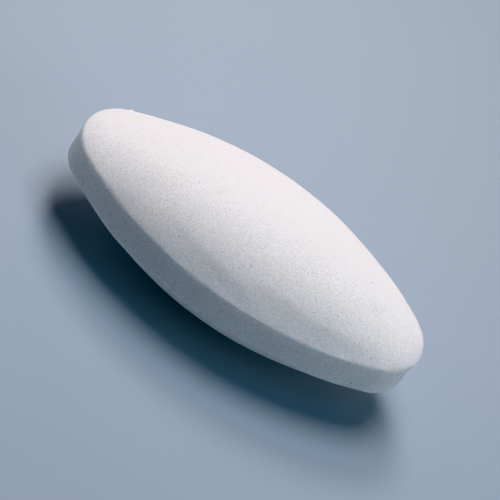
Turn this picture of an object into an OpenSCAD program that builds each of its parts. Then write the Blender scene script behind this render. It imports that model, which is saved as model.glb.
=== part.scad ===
// Magnetic stir bar: a rod magnet sealed in a seamless moulded fluoropolymer casing.
//
// The casing is a pointed oval in plan with rounded ends. A straight-sided belly
// band runs round it, and a crowned dome closes it above and below. The two domes
// are alike, so the bar sits and spins the same either way up.
//
// Each crown ends in a very small flat, on which the bar rests.
//
// Frame: +X along the bar, +Z up, and the origin in the middle of the lower flat.
// Millimetres.

/* [Casing] */
// Overall length of the bar
casing_length = 40; // [38:0.5:80]
// Overall width across the belly band
casing_width = 20; // [17:0.5:22]
// Radius of the rounded ends, seen from above
end_radius = 5.9; // [5:0.1:6.5]
// Height of the straight belly band between the two domes
band_height = 3.2; // [2:0.1:6]
// Rise of each dome above the belly band
dome_rise = 5.5; // [4.5:0.1:7]
// Width of the small flat on each crown
crown_flat = 2; // [1:0.1:3]

/* [Magnet] */
// Diameter of the rod magnet
magnet_diameter = 8; // [4:0.5:8]
// Length of the rod magnet
magnet_length = 24; // [12:1:24]
// Chamfer on both ends of the rod
magnet_chamfer = 0.6; // [0.2:0.1:1.2]

/* [Resolution] */
// Steps in the lengthwise curve of the domes
dome_steps = 96; // [48:8:160]
// Segments in each full circle
circle_segments = 192; // [96:24:360]

/* [Hidden] */
$fn = circle_segments;

half_length = casing_length / 2;
half_width = casing_width / 2;
total_height = band_height + 2 * dome_rise;
mid_height = total_height / 2;

// Long sides: one arc each, tangent to both end arcs and half_width out at the middle.
end_centre_x = half_length - end_radius;
side_radius = (pow(half_length, 2) + pow(half_width, 2) - 2 * half_length * end_radius)
            / (2 * (half_width - end_radius));
side_centre_y = side_radius - half_width;
// Where a side arc passes into an end arc
tangent_angle = atan2(side_centre_y, end_centre_x);
tangent_x = end_centre_x + end_radius * cos(tangent_angle);

// Half the width of the plan outline at x
function outline_y(x) =
    abs(x) < tangent_x
        ? sqrt(pow(side_radius, 2) - x * x) - side_centre_y
        : sqrt(max(0, pow(end_radius, 2) - pow(abs(x) - end_centre_x, 2)));

// Every cross-section of a dome is one circular arc. The centres of all these arcs
// lie on one line along X, axis_drop below the rim for the upper dome, so the dome
// is a body of revolution about that line and its rim stays level all the way round.
axis_drop = (pow(half_width, 2) - pow(crown_flat / 2, 2) - pow(dome_rise, 2)) / (2 * dome_rise);
function dome_radius(x) = sqrt(pow(outline_y(x), 2) + pow(axis_drop, 2));

// Stations along the bar, closer together towards the ends
dome_stations = [for (i = [-dome_steps / 2 : dome_steps / 2]) half_length * sin(180 * i / dome_steps)];
// The profile goes a little past each end, so the end walls cut it cleanly.
tail = 0.5;
tail_radius = axis_drop - tail * end_radius / axis_drop;

// Plan outline
module outline() {
    intersection() {
        translate([0, -side_centre_y]) circle(r = side_radius, $fn = 4 * circle_segments);
        translate([0, side_centre_y]) circle(r = side_radius, $fn = 4 * circle_segments);
        square([2 * tangent_x, 2 * half_width + 2], center = true);
    }
    for (side = [-1, 1])
        translate([side * end_centre_x, 0]) circle(r = end_radius);
}

// Solid of revolution whose upper half forms a dome, on its own axis along X
module dome_barrel() {
    rotate([0, 90, 0])
        rotate_extrude()
            polygon(concat(
                [[0, -half_length - tail], [tail_radius, -half_length - tail]],
                [for (x = dome_stations) [dome_radius(x), x]],
                [[tail_radius, half_length + tail], [0, half_length + tail]]
            ));
}

// Rod magnet with chamfered ends, centred on the bar
module magnet_rod() {
    r = magnet_diameter / 2;
    l = magnet_length / 2;
    c = magnet_chamfer;
    translate([0, 0, mid_height])
        rotate([0, 90, 0])
            rotate_extrude()
                polygon([[0, -l], [r - c, -l], [r, -l + c], [r, l - c], [r - c, l], [0, l]]);
}

module casing() {
    color([0.93, 0.93, 0.91])
        difference() {
            intersection() {
                // its end faces leave the two crown flats
                linear_extrude(height = total_height) outline();
                translate([0, 0, total_height - dome_rise - axis_drop]) dome_barrel();
                translate([0, 0, dome_rise + axis_drop]) dome_barrel();
            }
            magnet_rod();
        }
}

module magnet() {
    color([0.42, 0.42, 0.44]) magnet_rod();
}

casing();
magnet();
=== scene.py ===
import math

import bpy
import numpy as np
from mathutils import Matrix, Vector


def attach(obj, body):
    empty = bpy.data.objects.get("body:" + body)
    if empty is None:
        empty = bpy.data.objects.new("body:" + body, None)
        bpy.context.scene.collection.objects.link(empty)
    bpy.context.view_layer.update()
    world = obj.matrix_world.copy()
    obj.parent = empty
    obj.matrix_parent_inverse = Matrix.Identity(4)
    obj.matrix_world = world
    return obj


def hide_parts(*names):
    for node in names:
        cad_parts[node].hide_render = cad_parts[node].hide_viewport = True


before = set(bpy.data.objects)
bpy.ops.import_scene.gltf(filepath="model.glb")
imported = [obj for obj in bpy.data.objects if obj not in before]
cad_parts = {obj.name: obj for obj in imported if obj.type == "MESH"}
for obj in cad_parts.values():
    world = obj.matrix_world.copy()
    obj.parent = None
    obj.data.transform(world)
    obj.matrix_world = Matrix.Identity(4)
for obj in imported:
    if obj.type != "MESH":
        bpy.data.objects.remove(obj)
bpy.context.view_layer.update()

MM = 0.001


# ---------------------------------------------------------------- dimensions, in millimetres, as in the construction
HALF_L, HALF_W = 20.0, 10.0          # half the length and half the width of the casing
RHO = 5.9                            # radius of the rounded ends in plan
BAND = 3.2                           # height of the straight band
RISE = 5.5                           # rise of each dome above the band
FLAT = 2.0                           # width of the small crown flats
MAG_R, MAG_H, MAG_CH = 4.0, 12.0, 0.6

# Where the moulding's edge was trimmed, the dome's outer strip is a hair straighter than its arc. Each stroke of the
# knife: place along the bar, plan width of the strip there, and how fully the strip reaches a straight line.
STROKES = {
    ("upper", "near"): (
        ((-9.5, 1.95, 0.0), (-7.1, 1.85, 0.40), (-2.6, 1.52, 1.40), (0.0, 1.25, 2.05), (2.2, 1.15, 2.00), (4.0, 1.0, 1.70), (5.6, 0.9, 0.4), (6.6, 0.9, 0.0)),
        ((1.8, 1.95, 0.0), (4.4, 1.90, 0.95), (8.1, 1.75, 1.20), (10.6, 1.45, 1.60), (14.0, 1.27, 1.50), (17.2, 0.95, 0.9), (18.8, 0.8, 0.0)),
    ),
    ("upper", "far"): (
        ((-16.0, 1.0, 0.0), (-12.0, 1.3, 0.5), (-6.0, 1.5, 0.6), (-1.5, 1.4, 0.0)),
        ((2.5, 1.3, 0.0), (7.0, 1.6, 0.5), (11.0, 1.3, 0.4), (15.0, 1.1, 0.0)),
    ),
    ("lower", "near"): (
        ((-15.0, 1.1, 0.0), (-9.0, 1.5, 0.6), (-3.0, 1.3, 0.7), (1.5, 1.2, 0.0)),
        ((-0.5, 1.5, 0.0), (5.0, 1.6, 0.6), (12.0, 1.2, 0.5), (17.5, 0.9, 0.0)),
    ),
    ("lower", "far"): (
        ((-17.5, 0.9, 0.0), (-10.0, 1.3, 0.5), (-4.0, 1.5, 0.5), (0.0, 1.4, 0.0)),
        ((-1.0, 1.3, 0.0), (6.0, 1.6, 0.6), (13.0, 1.2, 0.5), (17.0, 1.0, 0.0)),
    ),
}

# How far the upper crease is rounded over along the near side: place along the bar and radius.
CREASE_RADIUS = (
    (-20.0, 0.55), (-19.0, 0.90), (-18.3, 0.60), (-17.0, 0.60), (-15.5, 0.80), (-12.5, 0.82), (-9.3, 0.88), (-8.0, 0.62),
    (-6.0, 0.42), (-4.0, 0.38), (-2.5, 0.60), (-1.0, 0.50), (0.5, 0.40), (3.0, 0.34), (5.0, 0.28), (7.5, 0.60), (10.0, 0.55), (12.0, 0.28),
    (14.5, 0.28), (16.0, 0.50), (18.0, 0.45), (18.6, 0.85), (19.2, 1.05), (19.6, 0.60), (19.85, 0.12), (20.0, 0.08),
)

SIDE_R = (HALF_L**2 + HALF_W**2 - 2 * HALF_L * RHO) / (2 * (HALF_W - RHO))
SIDE_C = SIDE_R - HALF_W
END_C = HALF_L - RHO
TAN = math.atan2(SIDE_C, END_C)
TAN_X = SIDE_R * math.cos(TAN)
DROP = (HALF_W**2 - (FLAT / 2) ** 2 - RISE**2) / (2 * RISE)
MID = RISE + BAND / 2
TOP = BAND + 2 * RISE


# ---------------------------------------------------------------- camera
def make_camera():
    el, az, roll = math.radians(39.47), math.radians(-1.955), math.radians(34.827)
    dist, f, cx, cy = 238.14, 2429.5, -0.3453, -0.1510
    ca, sa, ce, se = math.cos(az), math.sin(az), math.cos(el), math.sin(el)
    cr, sr = math.cos(roll), math.sin(roll)
    right = Vector((ca, -sa, 0))
    down = Vector((-sa * se, -ca * se, -ce))
    back = Vector((-sa * ce, -ca * ce, se))
    r = cr * right - sr * down
    d = sr * right + cr * down
    place = (Vector((0, 0, MID)) - cx * r - cy * d + dist * back) * MM
    data = bpy.data.cameras.new("camera")
    data.sensor_width = 36
    data.lens = f / 500 * 36
    data.clip_start, data.clip_end = 0.01, 20
    cam = bpy.data.objects.new("camera", data)
    cam.matrix_world = Matrix(
        ((r.x, -d.x, back.x, place.x), (r.y, -d.y, back.y, place.y), (r.z, -d.z, back.z, place.z), (0, 0, 0, 1))
    )
    bpy.context.scene.collection.objects.link(cam)
    bpy.context.scene.camera = cam
    return cam


# ---------------------------------------------------------------- small helpers
def smooth(x, lo, hi):
    t = np.clip((x - lo) / (hi - lo), 0, 1)
    return t * t * (3 - 2 * t)


def waves(p, count, shortest, longest, seed):
    """A smooth, repeatable, zero-mean ripple over the points p (n, 3), about 1 in size."""
    rng = np.random.RandomState(seed)
    out = np.zeros(len(p))
    for _ in range(count):
        k = rng.normal(size=3)
        k /= np.linalg.norm(k)
        length = math.exp(rng.uniform(math.log(shortest), math.log(longest)))
        out += np.sin(p @ (k * 2 * math.pi / length) + rng.uniform(0, 2 * math.pi))
    return out / math.sqrt(count / 2)


# ---------------------------------------------------------------- the casing's own surface
def outline(count):
    """Points round the plan outline, closer together at the +X tip and round the burr and its mirror place on the near
    side, with the outward normal's angle and the distance in to the spine. The spacing mirrors across the bar's axis,
    so that both sides share the spine."""
    end, side = RHO * TAN, SIDE_R * (math.pi - 2 * TAN)
    total = 4 * end + 2 * side
    fine = np.linspace(0, total, 20001)
    dense = np.ones_like(fine)
    for place, gain, reach in ((0.0, 0.5, 2.0), (total / 2 - 5.0, 2.6, 0.45)):
        for mirrored in (place, total - place):
            dense += gain * np.exp(-(((fine - mirrored) / reach) ** 2))
    run = np.concatenate([[0], np.cumsum((dense[1:] + dense[:-1]) / 2)])
    s = np.interp(np.arange(count) / count * run[-1], run, fine)
    half = count // 2
    s[half] = total / 2
    s[half + 1:] = total - s[half - 1:0:-1]
    knots = np.array([0, end, end + side, 3 * end + side, 3 * end + 2 * side, 4 * end + 2 * side])
    turn = np.array([0, TAN, math.pi - TAN, math.pi + TAN, 2 * math.pi - TAN, 2 * math.pi])
    phi = np.interp(s, knots, turn)
    c, n = np.cos(phi), np.sin(phi)
    on_side = np.abs(n) > math.sin(TAN) - 1e-9
    x = np.where(on_side, SIDE_R * c, np.sign(c) * END_C + RHO * c)
    y = np.where(on_side, np.sign(n) * (SIDE_R * np.abs(n) - SIDE_C), RHO * n)
    depth = np.where(on_side, SIDE_R - SIDE_C / np.maximum(np.abs(n), 0.5), RHO)
    return x, y, phi, depth


def half_width(x):
    x = np.abs(x)
    side = np.sqrt(np.maximum(SIDE_R**2 - x**2, 0)) - SIDE_C
    end = np.sqrt(np.maximum(RHO**2 - (x - END_C) ** 2, 0))
    return np.where(x <= TAN_X, side, end)


def dome(x, y):
    """Height above the rim's plane, eased down to the crown's small flat."""
    h = np.sqrt(np.maximum(half_width(x) ** 2 + DROP**2 - y**2, 0)) - DROP
    ease = 0.03
    t = np.clip(1 - np.abs(h - RISE) / ease, 0, 1)
    return np.minimum(h, RISE) - ease * t * t / 4


def smin(a, b, k):
    t = np.clip(1 - np.abs(a - b) / np.maximum(k, 1e-9), 0, 1)
    return np.minimum(a, b) - k * t * t / 4


def stroke_shape(stroke, x, seed):
    """The stroke's width and fullness along the bar, rounded off and a little uneven."""
    at, width, full = (np.array(v) for v in zip(*stroke))
    near_by = [x + o for o in (-1.0, -0.5, 0.0, 0.5, 1.0)]
    w = np.mean([np.interp(v, at, width) for v in near_by], axis=0)
    a = np.mean([np.interp(v, at, full) for v in near_by], axis=0)
    p = np.stack([x, np.zeros_like(x), np.zeros_like(x)], axis=1)
    return w * (1 + 0.035 * waves(p, 8, 1.5, 6, seed)), a


def casing_shape():
    around = 640
    top_rings, low_rings, wall_rings, round_rings = 70, 40, 14, 6
    x0, y0, phi, depth = outline(around)
    nx, ny = np.cos(phi), np.sin(phi)
    tip = np.exp(-(((x0 - 20) / 0.7) ** 2)) - np.exp(-(((x0 + 20) / 1.2) ** 2))
    ripple = waves(np.stack([x0, y0, np.zeros_like(x0)], axis=1), 14, 2, 9, 3)
    near_side = y0 < 0
    at, round_near = zip(*CREASE_RADIUS)
    upper = np.mean([np.interp(x0 + o, at, round_near) for o in (-0.15, 0.0, 0.15)], axis=0)
    # the far side is about as soft on the whole, and crisper round both ends
    far = 0.45 - 0.30 * smooth(np.abs(x0), 15.5, 17.5)
    upper = np.where(near_side, upper, far + (upper - far) * np.exp(-((np.abs(y0) / 1.0) ** 2)))
    crease = {
        "upper": np.clip(upper * (1 + 0.10 * ripple), 0.08, 1.3),
        "lower": 0.22 - 0.035 * ripple - 0.12 * np.abs(tip),
    }

    def height(d, level):
        """Height above the rim's plane at the distance d in from the rim."""
        x, y = x0 - nx * d, y0 - ny * d
        arc = dome(x, y)
        cut = np.zeros(around)
        for side, mask in (("near", near_side), ("far", ~near_side)):
            for k, stroke in enumerate(STROKES[(level, side)]):
                w, a = stroke_shape(stroke, x0, 7 * k + len(level + side))
                slope = dome(x0 - nx * w, y0 - ny * w) / w
                soft = 0.05 * smooth(d, 0.3 * w, w)
                one = a * (arc - smin(np.where(d < 1.3 * w, slope * d, 99.0), arc, soft))
                cut = np.where(mask, np.maximum(cut, one), cut)
        return arc - cut

    turn = {}
    for level in ("upper", "lower"):
        turn[level] = math.pi / 2 - np.arctan(height(np.full(around, 0.07), level) / 0.07)

    rows = []      # each row: (x, y, z, weight of the crease's lip)

    def dome_row(share, level):
        start = crease[level] * (1 - np.cos(turn[level]))
        d = start + (depth - start) * share
        x, y = x0 - nx * d, y0 - ny * d
        if share >= 1:
            y = np.zeros_like(y)
        z = BAND / 2 + height(d, level)
        rows.append((x, y, MID + z if level == "upper" else MID - z, np.zeros(around)))

    def round_row(t, level):
        a, radius = turn[level] * t, crease[level]
        d = radius * (1 - np.cos(a))
        z = BAND / 2 - radius * np.tan(turn[level] / 2) + radius * np.sin(a)
        rows.append((x0 - nx * d, y0 - ny * d, MID + z if level == "upper" else MID - z, np.full(around, math.sin(math.pi * t) ** 2)))

    for k in range(top_rings + 1):
        dome_row(1 - k / top_rings, "upper")
    for k in range(round_rings - 1, -1, -1):
        round_row(k / round_rings, "upper")
    high = BAND / 2 - crease["upper"] * np.tan(turn["upper"] / 2)
    low = -BAND / 2 + crease["lower"] * np.tan(turn["lower"] / 2)
    for k in range(1, wall_rings):
        t = k / wall_rings
        rows.append((x0.copy(), y0.copy(), MID + high + (low - high) * t, np.zeros(around)))
    for k in range(round_rings):
        round_row(k / round_rings, "lower")
    for k in range(low_rings + 1):
        dome_row(k / low_rings, "lower")

    x = np.array([r[0] for r in rows])
    y = np.array([r[1] for r in rows])
    z = np.array([r[2] for r in rows])
    lip = np.array([r[3] for r in rows])
    return x, y, z, lip


def build_casing():
    x, y, z, lip = casing_shape()
    rows, around = x.shape
    # one spine vertex serves both sides, and the ribs of an end all meet in one
    keep = {}
    index = np.zeros((rows, around), dtype=np.int64)
    verts, weight = [], []
    for r in range(rows):
        spine = r in (0, rows - 1)
        for i in range(around):
            if spine:
                key = (r, min(i, around - i) if abs(x[r, i]) < END_C - 1e-6 else math.copysign(1000, x[r, i]))
                if key not in keep:
                    keep[key] = len(verts)
                    verts.append((x[r, i], y[r, i], z[r, i]))
                    weight.append(0.0)
                index[r, i] = keep[key]
            else:
                index[r, i] = len(verts)
                verts.append((x[r, i], y[r, i], z[r, i]))
                weight.append(lip[r, i])
    faces = []
    for r in range(rows - 1):
        for i in range(around):
            j = (i + 1) % around
            quad = [index[r, i], index[r + 1, i], index[r + 1, j], index[r, j]]
            face = [v for k, v in enumerate(quad) if v != quad[k - 1]]
            if len(face) > 2:
                faces.append([int(v) for v in face])
    v = np.array(verts)

    # the sealed cavity that the magnet fills
    base = len(v)
    ring, profile = 96, []
    for s in np.linspace(-1, 1, 25):
        profile.append((s * (MAG_H - MAG_CH), MAG_R))
    profile = [(-MAG_H, 0.0), (-MAG_H, (MAG_R - MAG_CH) / 2), (-MAG_H, MAG_R - MAG_CH)] + profile
    profile += [(MAG_H, MAG_R - MAG_CH), (MAG_H, (MAG_R - MAG_CH) / 2), (MAG_H, 0.0)]
    inner, ids = [], []
    for px, pr in profile:
        row = []
        if pr == 0:
            row = [base + len(inner)] * ring
            inner.append((px, 0.0, MID))
        else:
            for k in range(ring):
                a = 2 * math.pi * k / ring
                row.append(base + len(inner))
                inner.append((px, pr * math.cos(a), MID + pr * math.sin(a)))
        ids.append(row)
    for a, b in zip(ids[:-1], ids[1:]):
        for k in range(ring):
            j = (k + 1) % ring
            quad = [a[k], b[k], b[j], a[j]]
            face = [q for n, q in enumerate(quad) if q != quad[n - 1]]
            if len(face) > 2:
                faces.append(face)
    v = np.vstack([v, np.array(inner)])

    mesh = bpy.data.meshes.new("ptfe_casing")
    mesh.from_pydata((v * MM).tolist(), [], faces)
    mesh.validate()
    mesh.polygons.foreach_set("use_smooth", [True] * len(mesh.polygons))
    mesh.update()
    finish_surface(mesh, base, np.array(weight))
    piece = bpy.data.objects.new("ptfe_casing", mesh)
    bpy.context.scene.collection.objects.link(piece)
    return piece


def near(p, x, y, z, reach):
    """1 at the point, easing to 0 about twice reach away."""
    return np.exp(-((p[:, 0] - x) ** 2 + (p[:, 1] - y) ** 2 + (p[:, 2] - z) ** 2) / (2 * reach**2))


def finish_surface(mesh, outside, lip):
    """Moves the outside's points along their normals: the slow unevenness of sintered and trimmed PTFE, and its small marks."""
    count = len(mesh.vertices)
    flat = np.empty(count * 3)
    mesh.vertices.foreach_get("co", flat)
    p = flat.reshape(-1, 3) / MM
    normal = np.empty(count * 3)
    mesh.vertex_normals.foreach_get("vector", normal)
    n = normal.reshape(-1, 3)
    q, m = p[:outside], n[:outside]
    x, y, z = q[:, 0], q[:, 1], q[:, 2]
    crown = 1 - np.exp(-((x / 5) ** 2 + (y / 4) ** 2) ** 2)
    move = -0.011 * (1 + 0.8 * waves(q, 16, 5, 17, 11)) * crown + 0.0026 * waves(q, 36, 1.1, 3.6, 5) * crown

    # the far side is a little slack towards the left end and full towards the right end
    move -= 0.04 * smooth(y, 0.5, 4.5) * smooth(-x, -5, 0) * smooth(z, 8.7, 10)
    move += 0.20 * near(q, 14.2, 4.2, 10.9, 1.9) + 0.09 * near(q, 12.6, -4.6, 11.0, 2.3)
    move -= 0.07 * near(q, 16.9, 3.1, 10.0, 0.6)
    # the right end's wall leans in below its top edge, and the lower edge beside it stands out
    sideways = -0.15 * smooth(8.4 - z, 0.1, 1.6) * (1 - smooth(5.9 - z, 0.0, 1.0)) * np.exp(-(((x - 20) / 0.85) ** 2))
    # the lower edge isn't trimmed quite evenly: how far it stands out along the near side
    edge = np.array([(-20, 0.12), (-19, 0.10), (-17.6, -0.06), (-15.5, -0.03), (-13.5, 0.03), (-11, 0.17), (-9.5, 0.17), (-8, 0.06), (-5, -0.02),
                     (4, -0.06), (8, -0.10), (12, 0.09), (15.5, 0.15), (16.9, 0.15), (18, 0.27), (19.1, 0.08), (20, 0.0)])
    stand = np.mean([np.interp(x + o, edge[:, 0], edge[:, 1]) for o in (-0.8, -0.4, 0, 0.4, 0.8)], axis=0)
    stand = stand * np.exp(-(((z - 5.4) / 0.75) ** 2)) * smooth(-y, -0.5, 0.5)
    # the wall's top leans in a little along the near side, most towards the right
    lean = np.interp(x, (-20, -18.5, -10, 5, 12, 18, 20), (0.0, 0.03, 0.03, 0.04, 0.05, 0.04, 0.0))
    move -= lean * smooth(-y, -1.5, 0.5) * np.where(z < 8.7, np.clip((z - 7.1) / 1.6, 0, 1) ** 2, np.exp(-(((z - 8.7) / 0.9) ** 2)))

    # a thin lip of trimmed edge along the crease, coming and going
    run = waves(q, 14, 1.2, 7, 23)
    move += lip * (0.004 + 0.010 * np.clip(run, 0, 2) + 0.022 * near(q, -10.0, -8.4, 8.7, 1.5))
    # short nicks just under the crease, and two small notches at the right end
    for nx_, ny_, nz_, reach, depth in (
        (-6.42, -9.35, 8.50, 0.16, 0.045),
        (-5.49, -9.53, 8.46, 0.13, 0.035),
        (-3.74, -9.78, 8.50, 0.15, 0.040),
        (-0.71, -9.99, 8.48, 0.16, 0.045),
        (2.60, -9.88, 8.46, 0.14, 0.040),
        (5.10, -9.60, 8.50, 0.12, 0.030),
        (19.94, -0.80, 8.35, 0.20, 0.030),
        (19.60, -2.10, 7.05, 0.22, 0.060),
        (17.40, -4.89, 8.50, 0.14, 0.040),
    ):
        move -= depth * near(q, nx_, ny_, nz_, reach)
    # two shallow round marks on the crown's near side
    for mx, my, mz, reach, depth in ((-5.07, -3.23, 13.44, 0.36, 0.030), (13.81, -1.51, 11.63, 0.42, 0.028)):
        move -= depth * near(q, mx, my, mz, reach)

    q = q + m * move[:, None]
    q[:, :2] += m[:, :2] / np.maximum(np.hypot(m[:, 0], m[:, 1]), 1e-3)[:, None] * (sideways + 0.92 * stand)[:, None]
    q[:, 2] -= 0.53 * stand
    # the crease wanders slightly up and down, and a small burr stands on its far side
    wander = 0.018 * waves(q, 12, 4, 15, 31) * np.exp(-(((np.abs(q[:, 2] - MID) - BAND / 2) / 0.8) ** 2))
    burr = 0.24 * near(q, -17.42, 4.88, 8.70, 0.10) + 0.06 * near(q, -13.44, -6.81, 8.97, 0.13)
    q[:, 2] += wander + burr
    q[:, 0] = np.clip(q[:, 0], -HALF_L, HALF_L)
    q[:, 1] = np.clip(q[:, 1], -HALF_W, HALF_W)
    q[:, 2] = np.clip(q[:, 2], 0, TOP)
    p[:outside] = q
    mesh.vertices.foreach_set("co", (p * MM).ravel())
    mesh.update()


# ---------------------------------------------------------------- materials
def new_material(name):
    m = bpy.data.materials.new(name)
    m.use_nodes = True
    nt = m.node_tree
    return m, nt, nt.nodes["Principled BSDF"]


class Nodes:
    """Short calls for a material's node tree."""

    def __init__(self, nt):
        self.nt = nt

    def _put(self, node, name, value):
        if isinstance(value, bpy.types.NodeSocket):
            self.nt.links.new(value, node.inputs[name])
        elif value is not None:
            node.inputs[name].default_value = value

    def math(self, op, a, b=None, c=None, clamp=False):
        n = self.nt.nodes.new("ShaderNodeMath")
        n.operation, n.use_clamp = op, clamp
        for i, v in enumerate((a, b, c)):
            self._put(n, i, v)
        return n.outputs[0]

    def noise(self, vector, scale, detail=2.0, rough=0.5, distortion=0.0):
        n = self.nt.nodes.new("ShaderNodeTexNoise")
        for k, v in (("Vector", vector), ("Scale", scale), ("Detail", detail), ("Roughness", rough), ("Distortion", distortion)):
            self._put(n, k, v)
        return n.outputs["Fac"]

    def range(self, v, lo, hi, to_lo, to_hi, kind="SMOOTHSTEP"):
        n = self.nt.nodes.new("ShaderNodeMapRange")
        n.interpolation_type = kind
        for i, k in enumerate((v, lo, hi, to_lo, to_hi)):
            self._put(n, i, k)
        return n.outputs[0]

    def distance(self, vector, point):
        n = self.nt.nodes.new("ShaderNodeVectorMath")
        n.operation = "DISTANCE"
        self._put(n, 0, vector)
        n.inputs[1].default_value = point
        return n.outputs["Value"]

    def scaled(self, vector, by):
        n = self.nt.nodes.new("ShaderNodeVectorMath")
        n.operation = "MULTIPLY"
        self._put(n, 0, vector)
        n.inputs[1].default_value = by
        return n.outputs[0]

    def mix(self, factor, a, b):
        n = self.nt.nodes.new("ShaderNodeMix")
        n.data_type = "RGBA"
        self._put(n, 0, factor)
        self._put(n, 6, a)
        self._put(n, 7, b)
        return n.outputs[2]

    def bump(self, height, strength, distance, normal=None):
        n = self.nt.nodes.new("ShaderNodeBump")
        for k, v in (("Height", height), ("Strength", strength), ("Distance", distance), ("Normal", normal)):
            self._put(n, k, v)
        return n.outputs[0]

    def object_place(self):
        return self.nt.nodes.new("ShaderNodeTexCoord").outputs["Object"]


# small dark inclusions that stand out, in millimetres: x, y, z, radius
SPECKS = (
    (11.92, 0.73, 12.36, 0.075),
    (15.98, -4.99, 9.33, 0.075),
    (11.04, -5.17, 11.24, 0.070),
    (18.30, -3.80, 8.95, 0.060),
    (15.84, -5.87, 6.00, 0.070),
    (17.13, -5.08, 8.33, 0.055),
    (14.29, -0.35, 11.58, 0.040),
    (13.56, -6.21, 9.50, 0.045),
    (14.71, -5.26, 9.73, 0.040),
    (10.92, -6.61, 10.26, 0.050),
    (10.73, -7.10, 9.89, 0.045),
    (5.94, -5.70, 12.25, 0.050),
    (5.84, -8.92, 9.46, 0.055),
    (1.06, -6.07, 12.56, 0.050),
    (-1.51, -7.70, 11.36, 0.055),
    (0.75, -7.96, 11.15, 0.050),
    (-6.65, -8.02, 10.30, 0.045),
    (-8.08, -6.69, 11.11, 0.040),
    (-5.02, -5.12, 12.71, 0.040),
    (-15.96, -1.54, 10.82, 0.040),
)


def ptfe():
    m, nt, p = new_material("ptfe")
    k = Nodes(nt)
    place = k.object_place()
    cloud = k.noise(place, 260, 3, 0.55)                   # drifts over 4 mm
    grain = k.noise(place, 3300, 2, 0.6)                   # sintered grain, about 0.3 mm
    fine = k.noise(place, 8200, 1.0, 0.6)                  # the finest texture, about 0.12 mm

    # tone: 1 plus small changes
    tone = k.math("MULTIPLY_ADD", k.math("SUBTRACT", cloud, 0.5), 0.06, 1.0)
    tone = k.math("MULTIPLY_ADD", k.math("SUBTRACT", grain, 0.5), 0.15, tone)
    tone = k.math("MULTIPLY_ADD", k.math("SUBTRACT", fine, 0.5), 0.84, tone)
    shade = k.mix(k.range(tone, 0.9, 1.1, 0.0, 1.0, "LINEAR"), (0.80, 0.785, 0.775, 1), (0.975, 0.96, 0.95, 1))

    # painted shade of pinholes between the sintered grains: small darker spots in the colour, with no holes in the
    # surface
    pit_dents_and_shade = k.range(k.noise(place, 7400, 0, 0.5), 0.60, 0.76, 0.0, 0.30)
    shade = k.mix(pit_dents_and_shade, shade, (0.46, 0.43, 0.41, 1))

    # two faint round marks
    stain = k.math("MAXIMUM", k.range(k.distance(place, (-0.00507, -0.00323, 0.01344)), 0.0002, 0.00095, 0.085, 0.0),
                   k.range(k.distance(place, (0.01381, -0.00151, 0.01163)), 0.0003, 0.0011, 0.07, 0.0))
    shade = k.mix(stain, shade, (0.30, 0.27, 0.26, 1))

    # specks: the few that stand out, and a thin scatter of smaller ones
    cells = nt.nodes.new("ShaderNodeTexVoronoi")
    cells.inputs["Scale"].default_value = 1250
    cells.inputs["Randomness"].default_value = 1.0
    nt.links.new(place, cells.inputs["Vector"])
    size = nt.nodes.new("ShaderNodeSeparateColor")
    nt.links.new(cells.outputs["Color"], size.inputs[0])
    reach = k.range(size.outputs[0], 0.45, 1.0, 0.0, 0.088, "LINEAR")
    scatter = k.math("MULTIPLY", k.math("LESS_THAN", cells.outputs["Distance"], reach), k.range(size.outputs[1], 0, 1, 0.3, 0.72, "LINEAR"))
    dark = scatter
    for x, y, z, r in SPECKS:
        one = k.range(k.distance(place, (x * MM, y * MM, z * MM)), r * 0.7 * MM, r * 1.5 * MM, 0.72, 0.0)
        dark = k.math("MAXIMUM", dark, one)
    shade = k.mix(dark, shade, (0.16, 0.13, 0.11, 1))
    nt.links.new(shade, p.inputs["Base Color"])

    rough = k.math("MULTIPLY_ADD", cloud, 0.12, 0.46)
    rough = k.math("MULTIPLY_ADD", grain, 0.08, rough)
    nt.links.new(rough, p.inputs["Roughness"])
    low = k.bump(grain, 0.25, 0.00003)
    nt.links.new(k.bump(fine, 0.8, 0.00003, low), p.inputs["Normal"])
    p.inputs["IOR"].default_value = 1.36
    p.inputs["Subsurface Weight"].default_value = 1.0
    p.inputs["Subsurface Radius"].default_value = (1.0, 0.9, 0.8)
    p.inputs["Subsurface Scale"].default_value = 0.0013
    return m


def magnet_metal():
    """Cast and centreless-ground Alnico: fine rings round the rod, and a duller, coarser grain in patches."""
    m, nt, p = new_material("ground_magnet")
    k = Nodes(nt)
    place = k.object_place()
    rings = k.noise(k.scaled(place, (1.0, 0.03, 0.03)), 16000, 2, 0.6)
    cast = k.noise(place, 900, 4, 0.6)
    pit_dents_and_shade = k.noise(place, 4200, 1, 0.5)
    tone = k.math("MULTIPLY_ADD", rings, 0.45, k.math("MULTIPLY", cast, 0.55))
    nt.links.new(k.mix(tone, (0.27, 0.27, 0.28, 1), (0.56, 0.55, 0.56, 1)), p.inputs["Base Color"])
    nt.links.new(k.math("MULTIPLY_ADD", cast, 0.30, 0.22), p.inputs["Roughness"])
    first = k.bump(rings, 0.25, 0.00001)
    nt.links.new(k.bump(k.range(pit_dents_and_shade, 0.62, 0.75, 0.0, -1.0), 0.2, 0.00003, first), p.inputs["Normal"])
    p.inputs["Metallic"].default_value = 1
    return m


def floor_material():
    """A plain pale sheet. Far from the object it glows faintly, so that it stays pale out to the horizon."""
    m, nt, p = new_material("floor")
    k = Nodes(nt)
    place = k.object_place()
    tone = k.math("MULTIPLY_ADD", k.noise(place, 3000, 2, 0.6), 0.5, k.math("MULTIPLY", k.noise(place, 45, 3, 0.5), 0.5))
    nt.links.new(k.mix(tone, (0.322, 0.407, 0.482, 1), (0.350, 0.437, 0.515, 1)), p.inputs["Base Color"])
    p.inputs["Roughness"].default_value = 0.75
    p.inputs["Emission Color"].default_value = (0.63, 0.83, 1.0, 1)
    nt.links.new(k.range(k.distance(place, (0.0, 0.0, 0.0)), 0.08, 0.32, 0.0, 0.42), p.inputs["Emission Strength"])
    m.cycles.emission_sampling = "NONE"
    return m


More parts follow.
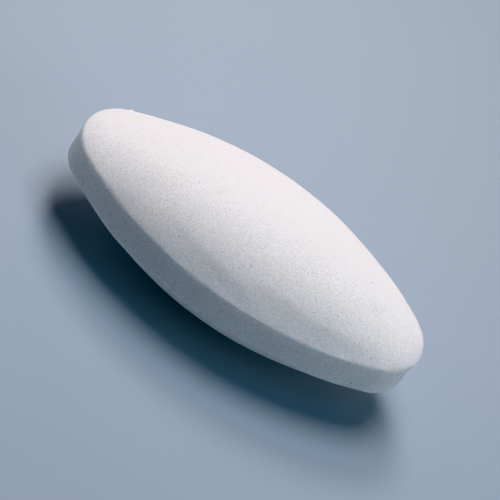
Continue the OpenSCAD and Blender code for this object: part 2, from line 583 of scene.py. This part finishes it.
# ---------------------------------------------------------------- the scene
make_camera()

casing = build_casing()
casing.data.materials.append(ptfe())
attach(casing, "root")
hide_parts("casing")

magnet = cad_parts["magnet"]
metal = magnet_metal()
if magnet.material_slots:
    for s in magnet.material_slots:
        s.material = metal
else:
    magnet.data.materials.append(metal)

floor_mesh = bpy.data.meshes.new("floor")
floor_mesh.from_pydata([(-5, -5, 0), (5, -5, 0), (5, 5, 0), (-5, 5, 0)], [], [(0, 1, 2, 3)])
floor = bpy.data.objects.new("floor", floor_mesh)
floor.data.materials.append(floor_material())
bpy.context.scene.collection.objects.link(floor)


def lamp(name, azimuth, elevation, distance, size, strength, colour):
    """A round soft light. Azimuth 0 is straight behind the object as the camera sees it, positive to its right."""
    a, e = math.radians(azimuth), math.radians(elevation)
    d = Vector((math.sin(a) * math.cos(e), math.cos(a) * math.cos(e), math.sin(e)))
    data = bpy.data.lights.new(name, "AREA")
    data.shape = "DISK"
    data.size = size
    data.energy = strength * (math.pi * distance) ** 2
    data.color = colour
    light = bpy.data.objects.new(name, data)
    light.location = Vector((0, 0, MID * MM)) + d * distance
    light.rotation_euler = d.to_track_quat("Z", "Y").to_euler()
    light.visible_camera = False
    bpy.context.scene.collection.objects.link(light)


lamp("key", -30, 52, 0.17, 0.06, 0.480, (1.0, 0.875, 0.845))
lamp("low_back", -6, 31, 0.19, 0.10, 0.073, (1.0, 0.60, 0.45))
lamp("top", -30, 82, 0.17, 0.10, 0.714, (0.985, 0.945, 1.0))
lamp("side", 105, 25, 0.25, 0.12, 0.133, (0.88, 1.0, 0.97))
lamp("front", 120, 60, 0.25, 0.14, 0.072, (0.05, 0.61, 1.0))
lamp("right_end", 64, 12, 0.25, 0.12, 0.075, (0.88, 0.93, 1.0))
lamp("left_end", -68, 12, 0.25, 0.12, 0.070, (0.65, 0.92, 1.0))

# the world: nearly black above, and dim and pale round the horizon
world = bpy.data.worlds.new("world")
world.use_nodes = True
sky = Nodes(world.node_tree)
back = world.node_tree.nodes["Background"]
up = world.node_tree.nodes.new("ShaderNodeSeparateXYZ")
world.node_tree.links.new(world.node_tree.nodes.new("ShaderNodeTexCoord").outputs["Generated"], up.inputs[0])
world.node_tree.links.new(sky.range(up.outputs["Z"], 0.09, 0.19, 0.16, 0.006), back.inputs["Strength"])
back.inputs["Color"].default_value = (0.63, 0.83, 1.0, 1)
bpy.context.scene.world = world
bpy.context.scene.view_settings.view_transform = "Khronos PBR Neutral"
